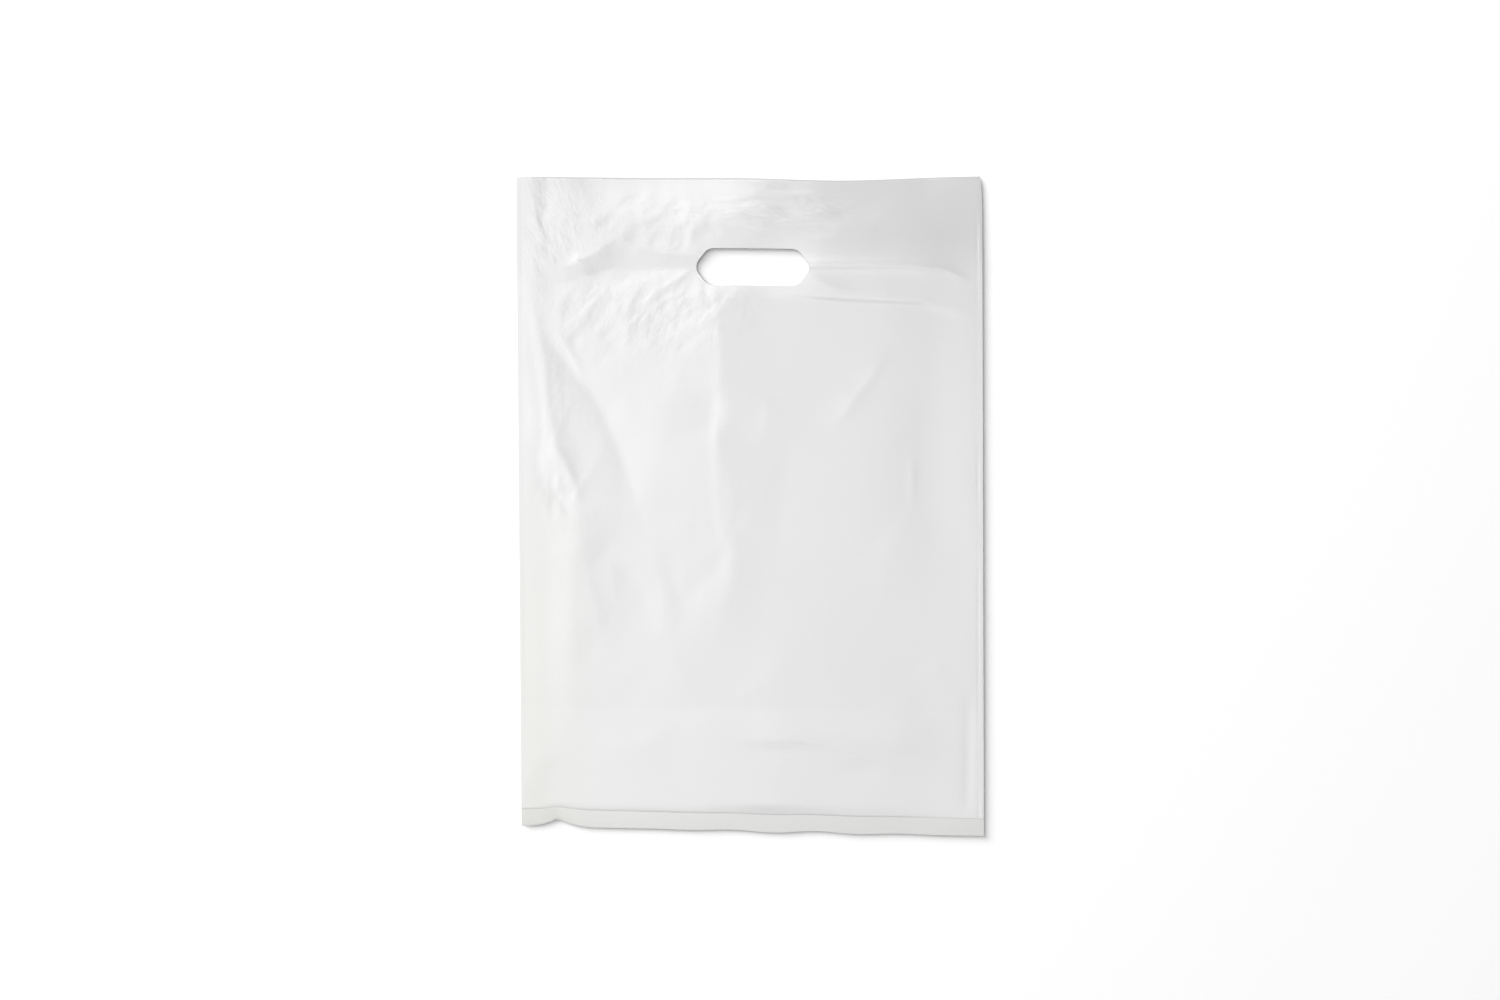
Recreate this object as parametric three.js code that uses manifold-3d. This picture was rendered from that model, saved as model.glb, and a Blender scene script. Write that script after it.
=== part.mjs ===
// A flat plastic carrier bag with a punched hand hole, lying on its back.
//
// The bag is one web of polythene film. Its free edges are turned in at the mouth as two deep
// hems, a gusset is folded up inside the bottom, and the two sides are welded through every
// layer. The hand hole is punched through both panels and both hems.
//
// Millimetres, +Z up, +X across the bag, +Y towards the mouth. The origin is the middle of the
// bag's outline, on the surface that its back panel lies on.

import * as THREE from "three";
import { mergeVertices } from "three/addons/utils/BufferGeometryUtils.js";
import Module from "manifold-3d";

// Driving dimensions.
const WIDTH = 380; // across the side welds
const LENGTH = 538; // mouth to bottom edge, lying flat
const FILM = 0.05; // gauge of the film
const HEM = 100; // depth of the turned-in hem at the mouth
const GUSSET = 100; // height of the gusset's inner fold above the bottom edge
const LIP = 14; // how far the back fold shows below the front fold
const HOLE_LENGTH = 92;
const HOLE_HEIGHT = 31;
const HOLE_NOSE = 10; // radius of the round nose at each end of the hole
const HOLE_CORNER = 10; // radius between the hole's slanting sides and its flats
const HOLE_SLANT = 38; // degrees from the vertical
const HOLE_DROP = 74; // mouth to the middle of the hand hole
const HOLE_SHIFT = 2.5; // the punch struck this far right of the middle
const AIR = 6; // air inside the bag where it is fullest

// The side welds.
const WELD = 5; // width of the welded strip
const BEAD = 0.05; // how far the melted strip stands proud of the film, all round
const WELD_LIFT = 4.4; // height of the welded strip above the surface the bag lies on
const SHOULDER = 45; // the panels rise and fall to the weld over this width

// The folded stack.
const PITCH = 2 * FILM; // film plus the least gap between two layers
const LAYERS = { back: 0, backInner: 1, frontInner: 2, front: 3 };
const STACK = LAYERS.front * PITCH + FILM;
const FOLD_STEPS = 4; // flats round a fold
const FRONT_RISE = 40; // the front panel rises from its bottom fold over this length
const GUSSET_SHARE = 0.35; // height of the gusset's inner fold, as a share of the air
const FRONT_FOLD_SHARE = 0.08; // height of the front panel's bottom fold, as a share of the air

// Heights along the bag, from its middle.
const MOUTH_Y = LENGTH / 2 - BEAD;
const BACK_FOLD_Y = -MOUTH_Y;
const FRONT_FOLD_Y = BACK_FOLD_Y + LIP;
const GUSSET_Y = BACK_FOLD_Y + GUSSET;
const HEM_Y = MOUTH_Y - HEM;
const HOLE_Y = MOUTH_Y - HOLE_DROP;

const smooth = (t) => t * t * (3 - 2 * t);
const share = (value, from, to) => THREE.MathUtils.clamp((value - from) / (to - from), 0, 1);

// How full the bag is across its width: 0 in the weld and 1 past its shoulder.
const fullness = (x) => smooth(share(WIDTH / 2 - WELD - Math.abs(x), 0, SHOULDER));

// The share of the air that lies under each run of film, from its place along the bag.
const underBack = () => 0;
const underFront = (y) => {
  const risen = Math.sin((Math.PI / 2) * share(y, FRONT_FOLD_Y, FRONT_FOLD_Y + FRONT_RISE));
  return THREE.MathUtils.lerp(FRONT_FOLD_SHARE, 1, risen);
};
const underBackLeaf = (y) => GUSSET_SHARE * share(y, BACK_FOLD_Y, GUSSET_Y);
const underFrontLeaf = (y) =>
  THREE.MathUtils.lerp(FRONT_FOLD_SHARE, GUSSET_SHARE, share(y, FRONT_FOLD_Y, GUSSET_Y));

// One straight run of film from one fold to the next, as points along its middle.
// Each point holds its place along the bag, its height in the stack and its share of the air.
function run(layer, from, to, steps, under) {
  return Array.from({ length: steps + 1 }, (_, i) => {
    const y = THREE.MathUtils.lerp(from, to, i / steps);
    return { y, stack: layer * PITCH + FILM / 2, under: under(y) };
  });
}

// The half turn that joins the end of one run to the start of the next. outward is +1 where
// the fold points to the mouth and -1 where it points to the bottom.
function fold(before, after, outward) {
  const radius = Math.abs(after.stack - before.stack) / 2;
  return Array.from({ length: FOLD_STEPS - 1 }, (_, i) => {
    const turn = (Math.PI * (i + 1)) / FOLD_STEPS;
    const along = (1 - Math.cos(turn)) / 2;
    return {
      y: before.y + outward * radius * Math.sin(turn),
      stack: THREE.MathUtils.lerp(before.stack, after.stack, along),
      under: THREE.MathUtils.lerp(before.under, after.under, along),
    };
  });
}

// The whole web in one line, from the back hem's free edge to the front hem's.
function web() {
  const bend = PITCH / 2 + FILM / 2; // how far a fold's outside stands past its runs
  const runs = [
    run(LAYERS.backInner, HEM_Y, MOUTH_Y - bend, 2, underBack),
    run(LAYERS.back, MOUTH_Y - bend, BACK_FOLD_Y + bend, 8, underBack),
    run(LAYERS.backInner, BACK_FOLD_Y + bend, GUSSET_Y - bend, 4, underBackLeaf),
    run(LAYERS.frontInner, GUSSET_Y - bend, FRONT_FOLD_Y + bend, 4, underFrontLeaf),
    run(LAYERS.front, FRONT_FOLD_Y + bend, FRONT_FOLD_Y + FRONT_RISE, 6, underFront),
    run(LAYERS.front, FRONT_FOLD_Y + FRONT_RISE, MOUTH_Y - bend, 6, underFront).slice(1),
    run(LAYERS.frontInner, MOUTH_Y - bend, HEM_Y, 2, underFront),
  ];
  const folds = [1, -1, 1, -1, 0, 1]; // which way each join turns, with 0 for no turn
  return runs.flatMap((points, i) => {
    if (i === 0) return points;
    const before = runs[i - 1].at(-1);
    return folds[i - 1] ? [...fold(before, points[0], folds[i - 1]), ...points] : points;
  });
}

// The web's middle line in the section at x, as points along the bag and up.
function section(line, x) {
  const full = fullness(x);
  const back = WELD_LIFT * (1 - full);
  return line.map((p) => new THREE.Vector2(p.y, back + p.stack + AIR * full * p.under));
}

// The two faces of the film in one section: half the gauge to each side of its middle line.
function faces(middle) {
  return [1, -1].map((side) =>
    middle.map((point, i) => {
      const before = middle[Math.max(i - 1, 0)];
      const after = middle[Math.min(i + 1, middle.length - 1)];
      const along = after.clone().sub(before).normalize();
      const away = new THREE.Vector2(-along.y, along.x).multiplyScalar((side * FILM) / 2);
      return point.clone().add(away);
    }),
  );
}

// Places across the bag where its section is drawn, closer together on the shoulders.
function stations() {
  const edge = WIDTH / 2 - BEAD;
  const weld = WIDTH / 2 - WELD;
  const slope = Array.from({ length: 8 }, (_, i) => weld - (SHOULDER * i) / 7);
  const right = [edge, ...slope, 70];
  return [...right.map((x) => -x), 0, ...right.reverse()];
}

// The film as one closed shell: its two faces, its two free edges and its two cut sides.
function filmGeometry() {
  const line = web();
  const across = stations();
  const count = line.length;
  const position = across.flatMap((x) =>
    faces(section(line, x)).flatMap((face) => face.flatMap((p) => [x, p.x, p.y])),
  );
  const at = (station, side, i) => (2 * station + side) * count + i;
  const index = [];
  const quad = (a, b, c, d) => index.push(a, c, b, a, d, c);
  const last = across.length - 1;
  for (let s = 0; s < last; s++) {
    for (let i = 0; i < count - 1; i++) {
      quad(at(s, 0, i), at(s, 0, i + 1), at(s + 1, 0, i + 1), at(s + 1, 0, i));
      quad(at(s, 1, i), at(s + 1, 1, i), at(s + 1, 1, i + 1), at(s, 1, i + 1));
    }
    quad(at(s, 0, 0), at(s + 1, 0, 0), at(s + 1, 1, 0), at(s, 1, 0));
    quad(at(s, 0, count - 1), at(s, 1, count - 1), at(s + 1, 1, count - 1), at(s + 1, 0, count - 1));
  }
  for (let i = 0; i < count - 1; i++) {
    quad(at(0, 0, i), at(0, 1, i), at(0, 1, i + 1), at(0, 0, i + 1));
    quad(at(last, 0, i), at(last, 0, i + 1), at(last, 1, i + 1), at(last, 1, i));
  }
  return new THREE.BufferGeometry()
    .setAttribute("position", new THREE.Float32BufferAttribute(position, 3))
    .setIndex(index);
}

// The strip along one side where every layer is melted into one.
function weldGeometry(side) {
  const height = STACK + 2 * BEAD;
  const strip = new THREE.BoxGeometry(WELD, LENGTH, height);
  return strip.translate((side * (WIDTH - WELD)) / 2, 0, WELD_LIFT - BEAD + height / 2);
}

// The outline of the hand hole: flat above and below, and at each end a round nose between two
// slanting sides. A slanting side touches the nose and the corner beside it, so it sets how far
// apart their centres are.
function holeShape() {
  const slant = THREE.MathUtils.degToRad(HOLE_SLANT);
  const noseX = HOLE_LENGTH / 2 - HOLE_NOSE;
  const cornerY = HOLE_HEIGHT / 2 - HOLE_CORNER;
  const apart = cornerY * Math.sin(slant) + HOLE_CORNER - HOLE_NOSE;
  const cornerX = noseX - apart / Math.cos(slant);
  const shape = new THREE.Shape();
  for (const end of [1, -1]) {
    const out = end > 0 ? 0 : Math.PI; // the way this end points
    shape.absarc(end * cornerX, -end * cornerY, HOLE_CORNER, out - Math.PI / 2, out - slant);
    shape.absarc(end * noseX, 0, HOLE_NOSE, out - slant, out + slant);
    shape.absarc(end * cornerX, end * cornerY, HOLE_CORNER, out + slant, out + Math.PI / 2);
  }
  return shape;
}

// The punch for the hand hole, standing out above and below the whole stack.
function punchGeometry() {
  const height = AIR + STACK;
  const settings = { depth: 2 * height, bevelEnabled: false, curveSegments: 5 };
  return new THREE.ExtrudeGeometry(holeShape(), settings).translate(HOLE_SHIFT, HOLE_Y, -height / 2);
}

const wasm = await Module();
wasm.setup();

function solid(geometry) {
  geometry.deleteAttribute("normal");
  geometry.deleteAttribute("uv");
  const merged = mergeVertices(geometry, 1e-4);
  return new wasm.Manifold(
    new wasm.Mesh({
      numProp: 3,
      vertProperties: merged.getAttribute("position").array,
      triVerts: new Uint32Array(merged.getIndex().array),
    }),
  );
}

function geometryOf(made) {
  const mesh = made.getMesh();
  const geometry = new THREE.BufferGeometry();
  geometry.setAttribute("position", new THREE.BufferAttribute(mesh.vertProperties, 3));
  geometry.setIndex(new THREE.BufferAttribute(mesh.triVerts, 1));
  geometry.computeVertexNormals();
  return geometry;
}

const bagSolid = solid(filmGeometry())
  .add(solid(weldGeometry(-1)))
  .add(solid(weldGeometry(1)))
  .subtract(solid(punchGeometry()));

const film = new THREE.MeshStandardMaterial({ color: 0xeeeeec, roughness: 0.3, metalness: 0 });

const bag = new THREE.Mesh(geometryOf(bagSolid), film);
bag.name = "carrier_bag";

const model = new THREE.Group();
model.add(bag);

export default model;
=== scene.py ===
# %% [markdown]
# # A flat plastic carrier bag
#
# The real bag starts as one wide web of white polythene film, thinner than a hair. A machine
# folds the web in half, pushes a gusset up into the fold, turns both free edges inwards as deep
# hems, and then cuts and welds the two sides in one stroke with a hot knife. A punch takes out
# the hand hole through all four layers at the mouth. Nothing else is added, so everything the
# eye sees is how thin film lies: flat facets, sharp creases and soft gloss.
#
# This lesson follows the machine. It lays out the folded web as a flat grid, gives every point
# a height, punches the hole, lets the outline settle as limp film does, and makes it a solid.

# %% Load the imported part
import bpy
import math
import numpy as np
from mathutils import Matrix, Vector
from mathutils.bvhtree import BVHTree
from mathutils.geometry import delaunay_2d_cdt


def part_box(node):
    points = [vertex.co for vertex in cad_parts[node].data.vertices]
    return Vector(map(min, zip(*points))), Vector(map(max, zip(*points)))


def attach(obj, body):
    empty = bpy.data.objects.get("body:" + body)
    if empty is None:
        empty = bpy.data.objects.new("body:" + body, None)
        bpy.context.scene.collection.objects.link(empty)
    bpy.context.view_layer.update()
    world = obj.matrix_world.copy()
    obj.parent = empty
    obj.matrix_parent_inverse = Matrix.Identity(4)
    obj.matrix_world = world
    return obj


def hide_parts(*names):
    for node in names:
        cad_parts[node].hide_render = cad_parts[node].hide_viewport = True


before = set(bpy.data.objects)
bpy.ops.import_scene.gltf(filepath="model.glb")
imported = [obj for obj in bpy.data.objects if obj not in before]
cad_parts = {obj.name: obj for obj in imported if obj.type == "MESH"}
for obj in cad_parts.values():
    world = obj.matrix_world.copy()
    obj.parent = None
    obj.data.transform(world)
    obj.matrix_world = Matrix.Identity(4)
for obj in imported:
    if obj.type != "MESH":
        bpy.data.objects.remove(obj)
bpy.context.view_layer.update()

MM = 0.001
low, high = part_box("carrier_bag")
WIDTH = (high.x - low.x) / MM
LENGTH = (high.y - low.y) / MM
print("flat bag:", round(WIDTH), "x", round(LENGTH), "mm")

# %% [markdown]
# ## Sizes of the folded web
#
# All lengths are in millimetres on the flat bag: `u` runs across it, and `v` runs from the
# bottom, which is negative, to the mouth. The hem, gusset and hole sizes are the part's own.
# The layers of real film touch. Here they keep 0.3 mm apart, so that none cuts another.

# %% Folds, hand hole and layers
HALF_WIDTH, HALF_LENGTH = WIDTH / 2, LENGTH / 2
FILM = 0.05
LAYER = 0.3
HEM, GUSSET, LIP = 100, 100, 14
HEM_V = HALF_LENGTH - HEM
GUSSET_V = GUSSET - HALF_LENGTH
FRONT_FOLD_V = LIP - HALF_LENGTH
HOLE_LENGTH, HOLE_HEIGHT = 92, 31
HOLE_U, HOLE_V = 2.5, HALF_LENGTH - 74
HOLE_NOSE, HOLE_CORNER, HOLE_SLANT = 10, 10, math.radians(38)
HOLE_ROOM = 22  # half the height of the rows that the punch may move


def ease(t):
    """An even S-shaped step from 0 to 1."""
    t = np.clip(t, 0, 1)
    return t * t * (3 - 2 * t)


def rise(value, start, end):
    """0 before start, 1 past end, and an S-shaped step between them."""
    return ease((value - start) / (end - start))


def lerp(a, b, t):
    return a + (b - a) * t


# %% [markdown]
# ## Words for creased film
#
# Film bends but doesn't stretch, so it lies in flat facets that meet along lines. Four shapes
# say nearly all of it. A crease is a line with a slope on each side that fades away from it. A
# ledge is a line where the film steps down, as over the edge of a hem. A swell is a broad rise
# over trapped air. Crumpled film is a net of small facets between points at random heights.
#
# A cloth simulation could make folds too, but not these folds in these places. Sums of simple
# shapes can be steered, and they cost nothing to run again.

# %% Creases and ledges
def beside(path, u, v):
    """The distance from a path, how far to its left (1) or right (-1), and the share passed."""
    points = np.array(path, float)
    nearest = np.full(np.shape(u), np.inf)
    side = np.zeros(np.shape(u))
    for (ax, ay), (bx, by) in zip(points, points[1:]):
        length = math.hypot(bx - ax, by - ay)
        dx, dy = (bx - ax) / length, (by - ay) / length
        run = np.clip((u - ax) * dx + (v - ay) * dy, 0, length)
        off_u, off_v = u - ax - run * dx, v - ay - run * dy
        distance = np.hypot(off_u, off_v) + 1e-9
        side = np.where(distance < nearest, (dx * off_v - dy * off_u) / distance, side)
        nearest = np.minimum(nearest, distance)
    chord = points[-1] - points[0]
    along = (u - points[0, 0]) * chord[0] + (v - points[0, 1]) * chord[1]
    return nearest, side, along / (chord @ chord)


def fading(place, start, end):
    """Full along a path's middle, fading to nothing over its first and last share."""
    return rise(place, 0, start) * rise(place, 1, 1 - end)


def crease(u, v, path, height, left, right, start=0.25, end=0.25, crest=1.2):
    """A line that stands height above the film, sloping away over left and right."""
    distance, side, place = beside(path, u, v)
    slope = np.exp(-(np.hypot(distance, crest) - crest) / lerp(right, left, (side + 1) / 2))
    return height * slope * fading(place, start, end)


def ledge(u, v, path, drop, width, reach, start=0.2, end=0.2):
    """The film steps down by drop from the left of a path to its right, and levels out again."""
    distance, side, place = beside(path, u, v)
    step = side * np.tanh(distance / width) / 2
    return drop * step * np.exp(-distance / reach) * fading(place, start, end)


def swell(u, v, centre, half, height, turn=0):
    """A soft oval rise, half its full height at its half sizes, turned by degrees."""
    c, s = math.cos(math.radians(turn)), math.sin(math.radians(turn))
    du, dv = u - centre[0], v - centre[1]
    a, b = (du * c + dv * s) / half[0], (dv * c - du * s) / half[1]
    return height * np.exp(-math.log(2) * (a * a + b * b))


# %% Crumpled film
def facets(u, v, centre, half, size, long, turn, height, seed):
    """Flat facets of about one size, drawn out long times at a turn, inside an oval."""
    rng = np.random.default_rng(seed)
    c, s = math.cos(math.radians(turn)), math.sin(math.radians(turn))
    du, dv = u - centre[0], v - centre[1]
    fade = rise(np.hypot(du / half[0], dv / half[1]), 1.15, 0.45)
    a, b = (du * c + dv * s) / (size * long), (dv * c - du * s) / size
    inside = fade > 0
    if not inside.any():
        return np.zeros(np.shape(u))
    start = np.floor([a[inside].min(), b[inside].min()]) - 1
    steps = np.ceil([a[inside].max(), b[inside].max()]) + 2 - start
    lattice = np.stack(np.meshgrid(np.arange(steps[0]), np.arange(steps[1])), axis=-1)
    corners = lattice.reshape(-1, 2) + start + rng.uniform(-0.42, 0.42, (lattice.size // 2, 2))
    triangles = delaunay_2d_cdt([Vector(p) for p in corners.tolist()], [], [], 0, 1e-6)[2]
    heights = rng.uniform(-height, height, len(corners))
    net = BVHTree.FromPolygons(np.column_stack([corners, heights]).tolist(), triangles)
    total = np.zeros(np.shape(u))
    down = Vector((0, 0, -1))
    over = height + 1
    found = [net.ray_cast((x, y, over), down)[0] for x, y in zip(a[inside].tolist(), b[inside].tolist())]
    total[inside] = [0 if hit is None else hit.z for hit in found]
    return total * fade


# %% [markdown]
# ## The back panel and the welds
#
# The back panel lies on the table. Its welded edges stand a few millimetres off it, because the
# weld is stiffer than the film, and that is what casts the bag's narrow shadow. Each weld is a
# bead that the hot knife leaves, with a groove beside it.

# %% Heights of the back panel and the welds
WELD_Z = 4.9


def weld_height(u, v):
    """The weld's height: level, and lower at the mouth's right and the bottom's left corner."""
    mouth_corner = rise(v, 190, 262) * rise(u, 120, 185)
    tucked_corner = rise(v, -225, -262) * rise(u, -120, -185)
    return WELD_Z - 1.0 * mouth_corner - 0.7 * tucked_corner


def back_height(u, v):
    """The back panel: flat on the table, and rising to its bottom fold, the mouth and the welds."""
    from_bottom, from_mouth = HALF_LENGTH + v, HALF_LENGTH - v
    bottom = 4.1 * rise(from_bottom, 70, 18) + 0.3 * rise(from_bottom, LIP, 2)
    mouth = 0.9 * rise(from_mouth, 40, 0)
    side = rise(np.abs(u), HALF_WIDTH - 70, HALF_WIDTH - 2)
    return lerp(bottom + mouth, weld_height(u, v), side)


def weld_relief(u, v):
    """The knife's bead near the edge and the groove beside it, both uneven along the weld."""
    inside = HALF_WIDTH - np.abs(u)
    uneven = 0.6 + 0.4 * np.sin(v / 23 + 1.5 * np.sin(v / 41))
    bead = 0.07 * np.exp(-(((inside - 1.8) / 0.9) ** 2))
    groove = 0.09 * np.exp(-(((inside - 4.4) / 0.9) ** 2))
    return (bead - groove) * uneven * lerp(0.25, 1, rise(u, -1, 1))


# %% [markdown]
# ## The front panel
#
# The front panel floats on the air in the bag, nearly level. How it leans matters more than how
# high it is: a slope of one in fifty can be enough to make it mirror another softbox. So its
# broad shape is a few soft rises, and every crease is added on top of them afterwards.

# %% Broad shape of the front panel
FRONT_Z = 5.1


def front_base(u, v):
    """The front panel without its creases: nearly level, and falling to its edges."""
    # on the right it rises to the hand hole's line and falls again to the mouth
    middle = FRONT_Z + (0.7 * rise(v, 30, 190) - 1.8 * rise(v, 198, 272)) * rise(u, -20, 60)
    # a soft slope that faces right runs down from the hem
    slope = 0.45 * rise(u, 0, 108) - 0.85 * rise(u, 108, 164)
    middle = middle + slope * rise(v, -110, 10) * rise(v, 215, 150)
    # its top right corner leans outwards
    middle = middle - 0.35 * rise(u, 60, 200) * rise(v, 190, 240)
    # on the left it falls to the mouth
    middle = middle - 2.0 * rise(v, 228, 278) * rise(u, 60, -40) * rise(u, -212, -90)
    # and it sinks and curls down to its bottom fold
    middle = middle - lerp(0.5, 0.3, rise(u, -110, -40)) * rise(v, FRONT_FOLD_V + 60, FRONT_FOLD_V)
    middle = middle - 0.2 * ((FRONT_FOLD_V + 7 - v) / 7).clip(0, 1) ** 2
    # it meets the welds over a shoulder, which is wider on the right
    shoulder = lerp(26, 50, rise(u, -1, 1))
    side = rise(np.abs(u), HALF_WIDTH - shoulder, HALF_WIDTH - 5)
    return lerp(middle, weld_height(u, v) + 0.4, side)


# %% [markdown]
# ## Folds at the hand hole
#
# Fingers pull the film up at the hand hole, and the pull runs out to both sides. On the left it
# has left a flat band between a valley and a ridge. On the right it has left one sharp ridge.
# The band is drawn from its own two edges, because its even slope is what makes it look flat.

# %% Folds at the hand hole
def flat_band(u, v):
    """The band left of the hand hole: a valley, an even rise above it, and a ridge over that."""
    valley_u = [-178, -155, -122, -110, -73, -20]
    valley = np.interp(u, valley_u, [172, 181, 190, 193.5, 194, 193])
    ridge_u = [-150, -135, -122, -112, -104, -89, -69, -20]
    ridge = np.interp(u, ridge_u, [195, 201, 209, 215, 216, 211, 207, 204])
    below = -1.0 * np.exp(-(valley - v).clip(0) / 45) * lerp(0.6, 1, rise(u, -30, -85))
    above = 0.95 * np.exp(-(v - ridge).clip(0) / 24)
    share = ((v - valley) / (ridge - valley)).clip(0, 1)
    return lerp(below, above, share) * rise(u, -188, -108) * rise(u, 40 * share, -36)


def hole_folds(u, v):
    """The fold through the hand hole: a flat band on its left, and a ridge on its right."""
    h = flat_band(u, v)
    h += crease(u, v, [(-147, 207), (-137, 195), (-124, 187)], 0.4, 3, 3, 0.3, 0.3)
    # the ridge on the right: a broad rise with a sharp crest
    ridge = [(16, 196), (81, 197), (122, 197), (145, 195), (160, 193), (172, 187), (186, 180)]
    h += crease(u, v, ridge, 0.5, 24, 30, 0.25, 0.4)
    h += crease(u, v, ridge, 0.9, 3.5, 2.5, 0.12, 0.3, 0.7)
    # a small rise and short creases that start at the ends of the hand hole
    h += swell(u, v, (-84, 178), (22, 12), 0.4, 25)
    h += crease(u, v, [(-78, 170), (-62, 183), (-44, 197)], 0.15, 2.5, 4, 0.3, 0.3)
    h += crease(u, v, [(-74, 166), (-60, 150), (-56, 138)], -0.25, 6, 6, 0.3, 0.4)
    h += crease(u, v, [(-40, 186), (-33, 168), (-27, 150)], -0.15, 4, 4, 0.25, 0.3)
    h += crease(u, v, [(40, 194), (66, 179), (92, 172)], 0.18, 5, 6, 0.3, 0.5)
    # the soft slope between the top left corner and the band
    slope = [(-158, 330), (-135, 258), (-126, 238), (-111, 213), (-88, 170)]
    h += ledge(u, v, slope, -0.75, 11, 40, 0.55, 0.35)
    return h


# %% [markdown]
# ## Folds down the bag
#
# The bag was folded down its middle in the packet, and that fold still stands. A long valley
# falls from the left weld, with a bright strip beside it where the film stands up to the weld.
# Between them lies a fan of shallow folds. Each is a crease along a few points.

# %% Folds down the bag
def dented_facet(u, v):
    """A flat facet left of the middle fold that leans to the right, with a step at the fold."""
    lean = ((u + 77) / 47).clip(0, 1) * rise(u, -17, -34)
    bottom = 36 + 0.35 * (u + 77)
    return -0.55 * lean * rise(v, bottom, bottom + 18) * rise(v, 98, 80)


def long_folds(u, v):
    """The folds that run down the bag, and the faint lines and nicks beside them."""
    # the fold down the middle
    h = crease(u, v, [(-32, 196), (-27, 151), (-24, 120), (-25, 85), (-28, 50), (-27, 10), (-20, -30)],
               1.4, 60, 50, 0.14, 0.3)
    h += crease(u, v, [(-31, 200), (-27, 151), (-24, 110), (-25, 40)], 0.25, 60, 60, 0.25, 0.6, 3)
    # its upper end, from the hand hole to the mouth
    h += crease(u, v, [(-22, 180), (-3, 215), (1, 240), (7, 262), (16, 300)], 0.4, 40, 38, 0.3, 0.4, 11)
    # its lower end, which turns to the left, and the soft rise that goes on to the bottom
    h += crease(u, v, [(-16, -10), (-14, -40), (-22, -75), (-33, -130)], 0.5, 26, 34, 0.35, 0.5, 3)
    h += crease(u, v, [(8, -30), (14, -120), (16, -200), (18, -330)], 0.6, 60, 45, 0.4, 0.1, 14)
    # the valley that falls from the left weld, and the ridge that springs from it
    h += crease(u, v, [(-180, 163), (-167, 138), (-154, 121), (-131, 93), (-119, 72), (-108, 45),
                       (-99, 18), (-90, -14), (-79, -48)], -1.1, 26, 20, 0.3, 0.4, 2)
    h += crease(u, v, [(-161, 149), (-147, 124), (-132, 95)], 0.3, 3, 2.5, 0.3, 0.4)
    # the bright strip beside the left weld: its ridge and the valley outside it
    h += crease(u, v, [(-183, 230), (-182, 163), (-175, 151), (-169, 120), (-165, 68), (-157, 38),
                       (-148, 18), (-139, -8)], 0.7, 10, 17, 0.6, 0.12, 2)
    h += crease(u, v, [(-141, 8), (-143, -20), (-148, -80), (-149, -160), (-147, -230)],
                0.8, 16, 18, 0.12, 0.6, 7)
    h += crease(u, v, [(-187, 200), (-182, 150), (-175, 105), (-171, 62), (-176, 32), (-170, 8),
                       (-167, -20)], -0.2, 5, 8, 0.2, 0.2)
    # the small blister where the strip is narrowest
    blister = [(-177, 42), (-171, 26), (-161, 9), (-151, -6), (-143, -20)]
    h += crease(u, v, blister, -0.22, 3, 4, 0.25, 0.3, 0.8)
    h += crease(u, v, [(-166, 46), (-152, 33), (-144, 14), (-141, -6)], 0.25, 4, 3, 0.25, 0.3, 0.8)
    # the fan of shallow folds between them
    h += dented_facet(u, v)
    h += crease(u, v, [(-80, -43), (-58, -80), (-40, -66), (-12, -35)], -0.35, 16, 16, 0.3, 0.3)
    h += crease(u, v, [(-128, -23), (-91, -72), (-75, -121)], -0.45, 22, 30, 0.2, 0.4, 2)
    h += crease(u, v, [(-140, -20), (-126, -97), (-112, -140)], 0.4, 18, 22, 0.2, 0.4, 2)
    # faint lines on the right half
    h += crease(u, v, [(116, 128), (89, 91), (64, 58)], 0.45, 4, 7, 0.3, 0.4, 0.8)
    h += crease(u, v, [(16, 92), (12, 61), (-2, 50)], 0.25, 20, 6, 0.4, 0.3)
    h += crease(u, v, [(133, 46), (131, -6)], 0.25, 2.5, 2.5, 0.4, 0.4, 0.8)
    h += crease(u, v, [(179, -140), (178, -190), (176, -252)], -0.35, 5, 3, 0.3, 0.1)
    # small nicks where the film once folded
    h += crease(u, v, [(-12, -157), (0, -153), (9, -153)], 0.2, 2.5, 2.5, 0.3, 0.3, 0.7)
    h += crease(u, v, [(140, -133), (150, -133), (160, -137)], 0.25, 2.5, 2.5, 0.3, 0.3, 0.7)
    h += crease(u, v, [(-180, -203), (-170, -213), (-160, -217)], 0.25, 3, 3, 0.3, 0.3, 0.7)
    return h


# %% [markdown]
# ## Where the layers below end
#
# The hem and the gusset can't be seen from outside, but the front panel steps down where the
# hem ends and up where the gusset begins. Over the gusset the film has a little slack, which
# lies in a low, wide ripple.

# %% Steps over hem and gusset
def layer_steps(u, v):
    """The front panel's steps over the hem and the gusset, and the slack film over the gusset."""
    # the free edge of the hem
    hem_edge = [(2, 172), (41, 171), (81, 168), (122, 166), (142, 165), (157, 160), (188, 150)]
    h = ledge(u, v, hem_edge, 0.8, 1.5, 70, 0.35, 0.35)
    # the gusset's inner fold
    h += ledge(u, v, [(-75, -174), (105, -173), (165, -172)], -0.45, 1.3, 30, 0.15, 0.15)
    # the slack film over it
    slack_top = [(-45, -191), (-5, -189), (25, -188), (85, -190), (140, -192), (166, -200)]
    slack_bottom = [(-70, -200), (-22, -204), (39, -208), (105, -218), (160, -229)]
    h += crease(u, v, slack_top, 0.65, 18, 25, 0.4, 0.3, 2)
    h += crease(u, v, slack_bottom, -0.35, 16, 14, 0.4, 0.2, 2)
    h += crease(u, v, [(-133, -207), (-92, -200), (-55, -180)], 0.25, 12, 12, 0.3, 0.3)
    return h


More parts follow.
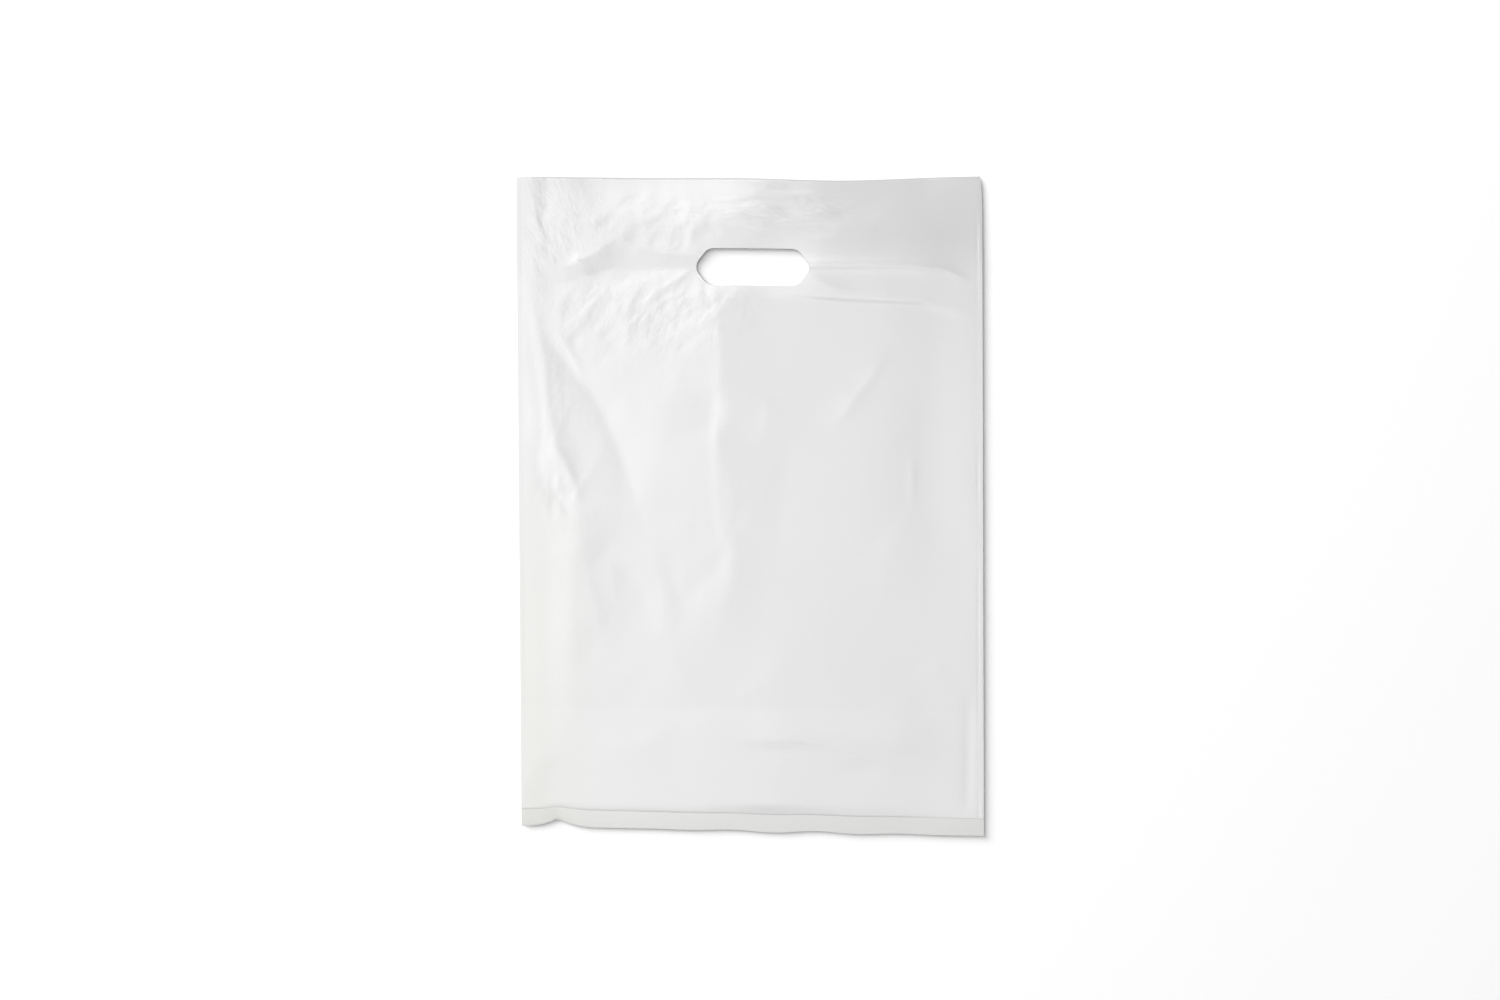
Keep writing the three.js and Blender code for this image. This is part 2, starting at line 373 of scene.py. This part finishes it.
# %% [markdown]
# ## Crumpled places
#
# Film that has been gathered in a hand keeps a net of small facets. They are densest below the
# band, in the top left corner and along the mouth, and each place has its own size and
# direction. The grid is too coarse for the sharpest lines between them, so three masks say
# where the finish should add a fine net of its own.

# %% Crumpled places
def crumpled(u, v):
    """The facets of crumpled film, place by place."""
    # below the band, drawn out from the left to the hand hole
    h = facets(u, v, (-84, 150), (88, 44), 9, 1.7, 52, 0.19, 3)
    h += facets(u, v, (-128, 152), (50, 36), 8, 1.7, 55, 0.17, 14)
    h += facets(u, v, (-80, 158), (64, 34), 4.5, 2, 50, 0.13, 4)
    # the top left corner
    h += facets(u, v, (-160, 222), (40, 56), 8, 2, -58, 0.18, 5)
    h += facets(u, v, (-166, 230), (28, 40), 4.5, 2, -55, 0.13, 6)
    # along the mouth
    h += facets(u, v, (-75, 234), (74, 34), 11, 1.4, 70, 0.13, 7)
    h += facets(u, v, (-75, 230), (74, 34), 4, 1.6, 30, 0.07, 15)
    h += facets(u, v, (35, 243), (80, 30), 4.5, 5, -8, 0.2, 8)
    # the left strip and the slack film over the gusset
    h += facets(u, v, (-160, 6), (20, 26), 5, 1.6, 60, 0.18, 12)
    h += facets(u, v, (-158, 92), (10, 26), 3.6, 4, 78, 0.1, 13)
    h += facets(u, v, (70, -204), (115, 22), 6, 5, -6, 0.2, 10)
    # everywhere else, hardly to be seen
    h += facets(u, v, (0, 0), (260, 330), 46, 1.5, 70, 0.3, 9)
    h += facets(u, v, (-90, 20), (120, 190), 17, 2, 62, 0.16, 16)
    return h


def crumple_zones(u, v):
    """How strong each of three fine nets of creases is, from 0 to about 1.

    The first lies below the band and on the left strip, the second in the top left corner, and
    the third at the mouth and over the gusset.
    """
    band = 0.1 + swell(u, v, (-82, 156), (62, 26), 0.9) + swell(u, v, (-160, 50), (14, 60), 0.5)
    corner = 0.1 + swell(u, v, (-158, 226), (30, 38), 0.9)
    mouth = 0.1 + swell(u, v, (30, 244), (60, 18), 1.0) + swell(u, v, (80, -204), (80, 12), 0.5)
    return np.stack(np.broadcast_arrays(band, corner, mouth), axis=-1)


def front_height(u, v):
    """The front panel with all its creases, which fade out just before the welds and the fold."""
    creases = hole_folds(u, v) + long_folds(u, v) + layer_steps(u, v) + crumpled(u, v)
    inland = rise(HALF_WIDTH - np.abs(u), 2, 16) * rise(v, FRONT_FOLD_V, FRONT_FOLD_V + 10)
    return front_base(u, v) + inland * creases + weld_relief(u, v)


# %% [markdown]
# ## The web as a grid
#
# The whole bag is one sheet, so it is made as one grid. A row of the grid runs across the bag,
# and the rows follow the web from the back hem's free edge over the mouth, down the back, up and
# down the gusset, up the front, and over the mouth again to the front hem's free edge. Rows lie
# close together where the film is creased, and far apart on layers that nobody sees.

# %% Rows and columns of the web
def stretch(start, end, step):
    """Evenly spaced places from start to end, about step apart."""
    return np.linspace(start, end, max(2, round(abs(end - start) / step) + 1))


def strip(places, share_start, share_end, offset):
    """One run of film: where each row lies, and how high between back (0) and front (1)."""
    shares = np.linspace(share_start, share_end, len(places))
    return [(v, share, offset) for v, share in zip(places, shares)]


BEND = 0.4  # how far a fold's outside stands past the rows on each side of it


def rows_of_web():
    """Every row's place, its share between back and front, and its offset from that height."""
    mouth, hole_top, hole_bottom = HALF_LENGTH, HOLE_V + HOLE_ROOM, HOLE_V - HOLE_ROOM
    beside_hole = np.concatenate([
        stretch(mouth - BEND, hole_top, 16),
        stretch(hole_top, hole_bottom, 2.8)[1:],
    ])
    rows = []
    # the back hem, up to the mouth
    hem = np.concatenate([beside_hole, [HEM_V]])
    rows += strip(hem[::-1], 0, 0, LAYER)
    rows += [(mouth, 0, LAYER / 2)]
    # the back panel, down to its fold
    rows += strip(np.concatenate([beside_hole, stretch(hole_bottom, BEND - mouth, 36)[1:]]), 0, 0, 0)
    rows += [(-mouth, 0.02, 0)]
    # the gusset, up and down again
    rows += strip(stretch(BEND - mouth, GUSSET_V - BEND, 14), 0.04, 0.5, 0)
    rows += [(GUSSET_V, 0.53, 0)]
    rows += strip(stretch(GUSSET_V - BEND, FRONT_FOLD_V + BEND, 14), 0.56, 0.86, 0)
    rows += [(FRONT_FOLD_V, 0.93, 0)]
    # the front panel, up to the mouth
    rows += strip(stretch(FRONT_FOLD_V + BEND, FRONT_FOLD_V + 12, 1.6), 1, 1, 0)
    rows += strip(stretch(FRONT_FOLD_V + 12, -60, 3.6)[1:], 1, 1, 0)
    rows += strip(stretch(-60, 100, 3.1)[1:], 1, 1, 0)
    rows += strip(stretch(100, 162, 2.3)[1:], 1, 1, 0)
    rows += strip(stretch(162, 216, 1.5)[1:], 1, 1, 0)
    rows += strip(stretch(216, mouth - BEND, 2)[1:], 1, 1, 0)
    rows += [(mouth, 1, -LAYER / 2)]
    # the front hem, down to its free edge
    rows += strip(hem, 1, 1, -LAYER)
    return np.array(rows)


def columns_of_web():
    """Every column's place: close together on the welds, and closer on the creased left half."""
    weld = stretch(HALF_WIDTH, HALF_WIDTH - 7, 1.0)
    left = stretch(7 - HALF_WIDTH, 0, 2.0)[1:-1]
    right = stretch(0, HALF_WIDTH - 7, 3.0)[:-1]
    return np.concatenate([-weld, left, right, weld[::-1]])


rows, columns = rows_of_web(), columns_of_web()
print("web:", len(rows), "rows of", len(columns), "points")


# %% [markdown]
# ## The punched hand hole
#
# A steel punch cuts all the layers in one stroke. The outline is flat above and below, with a
# round nose between two slanting sides at each end. A boolean cut through sheets this thin is
# fragile, so the cells inside the outline are left out of the grid, and the points beside the
# gap slide onto the outline.

# %% Punch the hand hole
def arc(centre, radius, start, end, steps=9):
    turn = np.linspace(start, end, steps)
    return np.stack([centre[0] + radius * np.cos(turn), centre[1] + radius * np.sin(turn)], axis=1)


def hole_outline():
    nose_u = HOLE_LENGTH / 2 - HOLE_NOSE
    corner_v = HOLE_HEIGHT / 2 - HOLE_CORNER
    apart = corner_v * math.sin(HOLE_SLANT) + HOLE_CORNER - HOLE_NOSE
    corner_u = nose_u - apart / math.cos(HOLE_SLANT)
    right = np.concatenate([
        arc((corner_u, -corner_v), HOLE_CORNER, -math.pi / 2, -HOLE_SLANT),
        arc((nose_u, 0), HOLE_NOSE, -HOLE_SLANT, HOLE_SLANT),
        arc((corner_u, corner_v), HOLE_CORNER, HOLE_SLANT, math.pi / 2),
    ])
    return np.concatenate([right, -right]) + (HOLE_U, HOLE_V)


def punch(grid, outline):
    """Which cells of a grid of places stay. The places beside the gap move onto the outline."""
    edge = np.roll(outline, -1, axis=0) - outline
    centres = (grid[:-1, :-1] + grid[1:, :-1] + grid[:-1, 1:] + grid[1:, 1:]) / 4
    away = centres[:, :, None, :] - outline
    keep = (edge[:, 0] * away[..., 1] - edge[:, 1] * away[..., 0] < 0).any(axis=2)
    kept, cut = np.zeros(grid.shape[:2], bool), np.zeros(grid.shape[:2], bool)
    for i in (0, 1):
        for j in (0, 1):
            cells = slice(i, grid.shape[0] - 1 + i), slice(j, grid.shape[1] - 1 + j)
            kept[cells] |= keep
            cut[cells] |= ~keep
    span = (edge**2).sum(axis=1)
    for i, j in np.argwhere(kept & cut):
        along = np.clip(((grid[i, j] - outline) * edge).sum(axis=1) / span, 0, 1)
        spots = outline + along[:, None] * edge
        grid[i, j] = spots[np.argmin(((spots - grid[i, j]) ** 2).sum(axis=1))]
    return keep


# %% [markdown]
# ## How the outline settles
#
# A limp bag is never a true rectangle. Its sides lean a little, the mouth sags between the
# corners, the right corner is pulled out to a point, and the bottom left corner is tucked up
# where the gusset puckers. Each of these is a small shift of the flat places.

# %% Settle the outline
def settle(u, v):
    """Where a place on the flat bag comes to lie."""
    right = (u / HALF_WIDTH + 1) / 2
    top = (v / HALF_LENGTH + 1) / 2
    x = u + lerp(lerp(2.6, 0.7, right), lerp(-1.8, -0.7, right), top)
    y = v + lerp(lerp(7.5, -0.7, right), lerp(0.3, 0.9, right), top)
    # the pulled corner at the top right
    x = x - 1.8 * rise(u, 120, 190) * np.exp(-(HALF_LENGTH - v) / 9)
    # the sagging mouth
    near_top = np.exp(-(HALF_LENGTH - v) / 60)
    y = y - near_top * (3.3 * np.exp(-(((u - 75) / 70) ** 2)) + 0.9 * np.exp(-(((u + 70) / 60) ** 2)))
    # the tucked corner at the bottom left, and the waves beside it
    near_bottom = np.exp(-(HALF_LENGTH + v) / 14)
    y = y + near_bottom * 6.0 * np.exp(-(np.abs(u + 160) / 12) ** 1.5)
    y = y + near_bottom * (1.0 * np.cos((u + 20) / 11.5) * np.exp(-((u - 40) / 90) ** 2))
    return x, y


# %% [markdown]
# ## The film as a mesh
#
# Each point of the grid gets its settled place and its height. Two attributes go with it for
# the finish: where it is on the flat bag, and how finely the film is crumpled. Solidify then
# gives the sheet its gauge of 0.05 mm, half to each side. The edges of the sheet are marked
# sharp afterwards, because smooth shading would otherwise round a cut edge that has no radius.

# %% Build the film
def web_points():
    """The points of the web, what the finish needs to know of each, and which cells stay."""
    v, share, offset = (rows[:, i][:, None] for i in range(3))
    grid = np.stack(np.broadcast_arrays(columns[None, :], v), axis=-1).astype(float)
    keep = np.ones((len(rows) - 1, len(columns) - 1), bool)
    outline = hole_outline()
    layered = np.argwhere(np.abs(rows[:, 0] - HOLE_V) < HOLE_ROOM)[:, 0]
    for run in np.split(layered, np.where(np.diff(layered) > 1)[0] + 1):
        keep[run[0]:run[-1]] = punch(grid[run[0]:run[-1] + 1], outline)
    u, v = grid[..., 0], grid[..., 1]
    back, front = back_height(u, v), front_height(u, v)
    welded = rise(np.abs(u), HALF_WIDTH - 20, HALF_WIDTH - 1)
    z = FILM / 2 + lerp(back, front, share) + offset * lerp(1, 0.3, welded)
    x, y = settle(u, v)
    flat = np.stack([u, v, 0 * u], axis=-1)
    zones = crumple_zones(u, v) * (share > 0.99)[..., None]
    return np.stack([x, y, z], axis=-1) * MM, {"flat_place": flat * MM, "crumpled": zones}, keep


def film_mesh(name):
    """The web as a mesh without gauge."""
    points, known, keep = web_points()
    index = np.arange(points[..., 0].size).reshape(points.shape[:2])
    cells = np.stack([index[:-1, :-1], index[:-1, 1:], index[1:, 1:], index[1:, :-1]], axis=-1)[keep]
    used, cells = np.unique(cells, return_inverse=True)
    mesh = bpy.data.meshes.new(name)
    mesh.from_pydata(points.reshape(-1, 3)[used].tolist(), [], cells.reshape(-1, 4).tolist())
    for title, values in known.items():
        attribute = mesh.attributes.new(title, "FLOAT_VECTOR", "POINT")
        attribute.data.foreach_set("vector", values.reshape(-1, 3)[used].ravel())
    mesh.validate()
    return mesh


def give_gauge(sheet, gauge):
    """Makes a sheet a solid of one gauge, with smooth faces and sharp cut edges."""
    solidify = sheet.modifiers.new("gauge", "SOLIDIFY")
    solidify.thickness = gauge
    solidify.offset = 0
    solid = bpy.data.meshes.new_from_object(sheet.evaluated_get(bpy.context.evaluated_depsgraph_get()))
    sheet.modifiers.clear()
    sheet.data = solid
    solid.shade_smooth()
    solid.set_sharp_from_angle(angle=math.radians(50))


bag = bpy.data.objects.new("carrier_bag_film", film_mesh("carrier_bag_sheet"))
bpy.context.scene.collection.objects.link(bag)
give_gauge(bag, FILM * MM)
bag.data.name = bag.name
print("film:", sum(len(face.vertices) - 2 for face in bag.data.polygons), "triangles")

# %% [markdown]
# ## Shader sums in plain Python
#
# A material is a graph of nodes, and wiring it by hand hides the idea in the plumbing. Here one
# small class stands for an output socket. Python's own operators add the Math nodes, so that a
# mask can be written as `1 - mask`, and one method adds every other kind of node.

# %% A wire, and a finish that holds nodes
class Wire:
    """An output socket that works in sums: each operator adds one Math node."""

    def __init__(self, finish, socket):
        self.finish = finish
        self.socket = socket

    def maths(self, operation, first, second):
        return self.finish.node("ShaderNodeMath", {"operation": operation}, {0: first, 1: second})

    def __add__(self, other):
        return self.maths("ADD", self, other)

    __radd__ = __add__

    def __sub__(self, other):
        return self.maths("SUBTRACT", self, other)

    def __rsub__(self, other):
        return self.maths("SUBTRACT", other, self)

    def __mul__(self, other):
        return self.maths("MULTIPLY", self, other)

    __rmul__ = __mul__

    def __abs__(self):
        return self.maths("ABSOLUTE", self, 0)


class Finish:
    """One material, and the nodes that feed its shader."""

    def __init__(self, name):
        self.material = bpy.data.materials.new(name)
        self.material.use_nodes = True
        self.tree = self.material.node_tree
        self.shader = self.tree.nodes["Principled BSDF"]

    def node(self, kind, settings, sockets, out=0):
        """Adds a node with its settings first, then its sockets' values or links."""
        made = self.tree.nodes.new(kind)
        for name, value in settings.items():
            setattr(made, name, value)
        for name, value in sockets.items():
            self.join(made.inputs[name], value)
        return Wire(self, made.outputs[out])

    def join(self, socket, value):
        if isinstance(value, Wire):
            self.tree.links.new(value.socket, socket)
        else:
            socket.default_value = value

    def set(self, **sockets):
        """Sets the shader's own sockets, with _ for the spaces in their names."""
        for name, value in sockets.items():
            self.join(self.shader.inputs[name.replace("_", " ")], value)

    def vector(self, operation, first, second=None):
        sockets = {0: first}
        if operation == "SCALE":
            sockets["Scale"] = second
        elif operation != "NORMALIZE":
            sockets[1] = second
        return self.node("ShaderNodeVectorMath", {"operation": operation}, sockets)

    def mix(self, kind, mask, first, second):
        """Two colours mixed: first alone where the mask is 0."""
        # the colours have numbers here, because the node has other sockets of the same names
        settings = {"data_type": "RGBA", "blend_type": kind}
        return self.node("ShaderNodeMix", settings, {0: mask, 6: first, 7: second}, out=2)

    def part(self, vector, axis):
        return self.node("ShaderNodeSeparateXYZ", {}, {"Vector": vector}, axis)

    def step(self, value, start, end):
        """0 before start, 1 past end, and an S-shaped step between them."""
        sockets = {"Value": value, "From Min": start, "From Max": end}
        return self.node("ShaderNodeMapRange", {"interpolation_type": "SMOOTHSTEP"}, sockets)

    def noise(self, place, scale, detail=2.0, roughness=0.5):
        sockets = {"Vector": place, "Scale": scale, "Detail": detail, "Roughness": roughness}
        return self.node("ShaderNodeTexNoise", {}, sockets)


# %% [markdown]
# ## The finish of white polythene
#
# The film is white because pigment is mixed into the melt, and it shines because it sets
# against a polished roll. Nothing on it is printed. What keeps it from looking like paint is
# small: clouds and fine lines that the die leaves along the web, a whiter tone where layers
# back each other, a faint warmth at the lower left, glassy welds, and a skin of wrinkles too
# small to see one by one. Shade is painted in as well: the lip is greyer, partly because fewer
# layers back it and partly as painted shade under the front fold, a thin painted shade runs
# along the fold at the mouth, and the top corners carry painted shade where the film leans
# away from the light. All of it is worked out from where a point lies on the flat bag, so it
# follows the film.

# %% White polythene
def fine_creases(finish, place, size, long, turn, tilt):
    """Relief in metres: flat facets that meet in sharp lines, drawn out long times at a turn."""
    angle = math.radians(-turn)
    turn_by = {"Vector": place, "Angle": angle}
    turned = finish.node("ShaderNodeVectorRotate", {"rotation_type": "Z_AXIS"}, turn_by)
    drawn = finish.vector("MULTIPLY", turned, (1 / long, 1.0, 0.0))
    bend = finish.node("ShaderNodeTexNoise", {}, {"Vector": drawn, "Scale": 0.4 / size}, "Color")
    bent = finish.vector("ADD", drawn, finish.vector("SCALE", bend, size))
    cells = {"Vector": bent, "Scale": 1 / size}
    return size * tilt * finish.node("ShaderNodeTexVoronoi", {"feature": "DISTANCE_TO_EDGE"}, cells)


def film_tone(finish, across, along, weld, clouds, lines):
    """The film's colour: near white, with small differences of tone from place to place, and painted shade
    on the lip, along the mouth's fold and at the top corners.
    """
    hem = finish.step(along, (HEM_V - 1) * MM, (HEM_V + 1) * MM)
    gusset = 1 - finish.step(along, (GUSSET_V - 1) * MM, (GUSSET_V + 1) * MM)
    # the lip below the front fold: greyer partly because fewer layers back it, and partly as painted shade
    # under the fold
    lip = 1 - finish.step(along, (FRONT_FOLD_V - 1) * MM, FRONT_FOLD_V * MM)
    # a thin band along the fold at the mouth, darkened there as painted shade
    mouth = finish.step(along, (HALF_LENGTH - 2.4) * MM, (HALF_LENGTH - 1) * MM)
    # painted shade at the corners at the mouth, standing in for the film leaning away from the light there
    right = finish.step(across, -10 * MM, 70 * MM) * (1 - 0.4 * finish.step(across, 140 * MM, 180 * MM))
    right_corner_shade = right * finish.step(along, 190 * MM, 225 * MM)
    left_corner_shade = finish.step(0 - across, 50 * MM, 110 * MM) * finish.step(along, 175 * MM, 205 * MM)
    shade = 0.967 + 0.022 * clouds + 0.010 * lines + 0.008 * hem + 0.012 * gusset
    # the welds' own clearer tone, and painted shade along the mouth's fold and on the lip
    shade = shade - 0.02 * weld - 0.05 * mouth - 0.09 * lip
    # painted shade at both top corners
    shade = shade - 0.075 * right_corner_shade - 0.055 * left_corner_shade
    grey = finish.node("ShaderNodeCombineColor", {}, {"Red": shade, "Green": shade, "Blue": shade})
    # the warmth at the lower left and on the lip
    lower_left = finish.step(0 - across, 120 * MM, 180 * MM) * (1 - finish.step(along, -100 * MM, 50 * MM))
    warm = 0.8 * lower_left + 0.6 * lip
    tone = finish.mix("MIX", warm, (0.652, 0.654, 0.651, 1), (0.652, 0.654, 0.627, 1))
    return finish.mix("MULTIPLY", 1.0, tone, grey)


def white_polythene():
    """The film's material."""
    finish = Finish("white_polythene")
    place = finish.node("ShaderNodeAttribute", {"attribute_name": "flat_place"}, {}, "Vector")
    zones = finish.node("ShaderNodeAttribute", {"attribute_name": "crumpled"}, {}, "Vector")
    across, along = finish.part(place, "X"), finish.part(place, "Y")
    weld = finish.step(abs(across), (HALF_WIDTH - 4.4) * MM, (HALF_WIDTH - 3.6) * MM)
    clouds = finish.noise(place, 14.0, 3.0)
    lines = finish.noise(finish.vector("MULTIPLY", place, (6.0, 420.0, 0.0)), 1.0)
    skin = finish.noise(finish.vector("MULTIPLY", place, (1.0, 1.35, 0.0)), 230.0, 3.0, 0.6)
    finish.set(Base_Color=film_tone(finish, across, along, weld, clouds, lines))
    # gloss
    finish.set(IOR=1.54, Specular_IOR_Level=0.7)
    finish.set(Roughness=0.16 + 0.05 * clouds + 0.02 * skin - 0.05 * weld)
    # the skin of wrinkles, and the three nets of creases that are too fine for the mesh
    relief = 0.03 * MM * (0.8 * skin + 0.2 * lines)
    band = fine_creases(finish, place, 7 * MM, 1.7, 50, 0.022)
    corner = fine_creases(finish, place, 5 * MM, 2.2, -58, 0.03)
    mouth = fine_creases(finish, place, 4 * MM, 4.0, -8, 0.03)
    relief = relief + finish.part(zones, "X") * band
    relief = relief + finish.part(zones, "Y") * corner
    relief = relief + finish.part(zones, "Z") * mouth
    bump = {"Strength": 1.0, "Distance": 1.0, "Height": relief}
    finish.set(Normal=finish.node("ShaderNodeBump", {}, bump))
    print("white polythene:", len(finish.tree.nodes), "nodes")
    return finish.material


bag.data.materials.clear()
bag.data.materials.append(white_polythene())

# %% [markdown]
# ## The table and the light
#
# White film on a white table only shows by its gloss and its edges, so the light does most of
# the work. Four softboxes hang level overhead, and the film mirrors them. One stands over the
# left half and a dimmer one over the right, with their joint along the middle, which draws every
# crease there. Two brighter ones lie outside them, so that any facet that tips left or to the
# mouth lights up. A big, low softbox at the upper left casts the shadow on the right and below.
# From low in front the film would mirror that one as plain glare, and a polarising sheet over it
# holds most of the glare back. Here it is two lamps: a strong one hidden from the glossy rays,
# and a weak one that leaves a sheen. A last one stands low at the lower right, and keeps the
# film white when it is seen from the mouth.

# %% White table
def white_table():
    bpy.ops.mesh.primitive_plane_add(size=40, location=(0, 0, 0))
    table = bpy.context.object
    table.name = "white_table"
    finish = Finish("white_table")
    finish.set(Base_Color=(0.95, 0.95, 0.95, 1), Roughness=0.9, Specular_IOR_Level=0)
    finish.set(Emission_Color=(1, 1, 1, 1), Emission_Strength=0.05)
    table.data.materials.append(finish.material)
    return table


table = white_table()


# %% Softboxes and surroundings
def softbox(name, place, aim, size, radiance):
    """A rectangular light of a size in metres, aimed at a point, as bright as its radiance says."""
    light = bpy.data.lights.new(name, "AREA")
    light.shape = "RECTANGLE"
    light.size, light.size_y = size
    light.energy = radiance * math.pi * size[0] * size[1]
    lamp = bpy.data.objects.new(name, light)
    lamp.location = place
    lamp.rotation_mode = "QUATERNION"
    lamp.rotation_quaternion = (Vector(aim) - Vector(place)).to_track_quat("-Z", "Y")
    bpy.context.scene.collection.objects.link(lamp)
    return lamp


# the level softboxes: centre across and along, size and radiance
OVERHEAD = 5.0
level = {
    "overhead_softbox": (-0.46, -0.1, (0.78, 2.2), 3.5),
    "side_softbox": (-1.63, 0.78, (1.56, 3.26), 5.2),
    "mouth_softbox": (-0.37, 1.71, (0.96, 1.4), 5.2),
    "fill_softbox": (0.44, -0.65, (1.02, 2.3), 2.3),
}
for name, (x, y, size, radiance) in level.items():
    softbox(name, (x, y, OVERHEAD), (x, y, 0), size, radiance)

# the big softbox at the upper left, as its sheen and its light
MIDDLE = (0, 0, 0)
softbox("sheen_softbox", (-5.5, 4.37, 5.4), MIDDLE, (6.5, 6.5), 1.1)
key = softbox("key_softbox", (-5.6, 4.45, 5.5), MIDDLE, (6.5, 6.5), 4.3)
key.visible_glossy = False

# the low one at the lower right
low_box = softbox("low_softbox", (6.0, -4.8, 1.6), MIDDLE, (7.0, 3.0), 0.75)
low_box.visible_camera = False

world = bpy.data.worlds.new("studio")
bpy.context.scene.world = world
world.use_nodes = True
world.node_tree.nodes["Background"].inputs["Color"].default_value = (1, 1, 1, 1)
world.node_tree.nodes["Background"].inputs["Strength"].default_value = 0.13

# %% [markdown]
# ## The camera
#
# The camera looks straight down from 3.4 m with a long lens, so the sheet keeps its outline.

# %% Camera
camera = bpy.data.objects.new("camera", bpy.data.cameras.new("camera"))
bpy.context.scene.collection.objects.link(camera)
bpy.context.scene.camera = camera
camera.data.lens = 100
camera.data.sensor_width = 36
camera.location = (-0.0006, 0.0051, 3.413)
bpy.context.scene.view_settings.view_transform = "Standard"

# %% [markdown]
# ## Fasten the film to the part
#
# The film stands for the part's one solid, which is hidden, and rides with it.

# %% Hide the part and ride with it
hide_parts("carrier_bag")
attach(bag, "root")
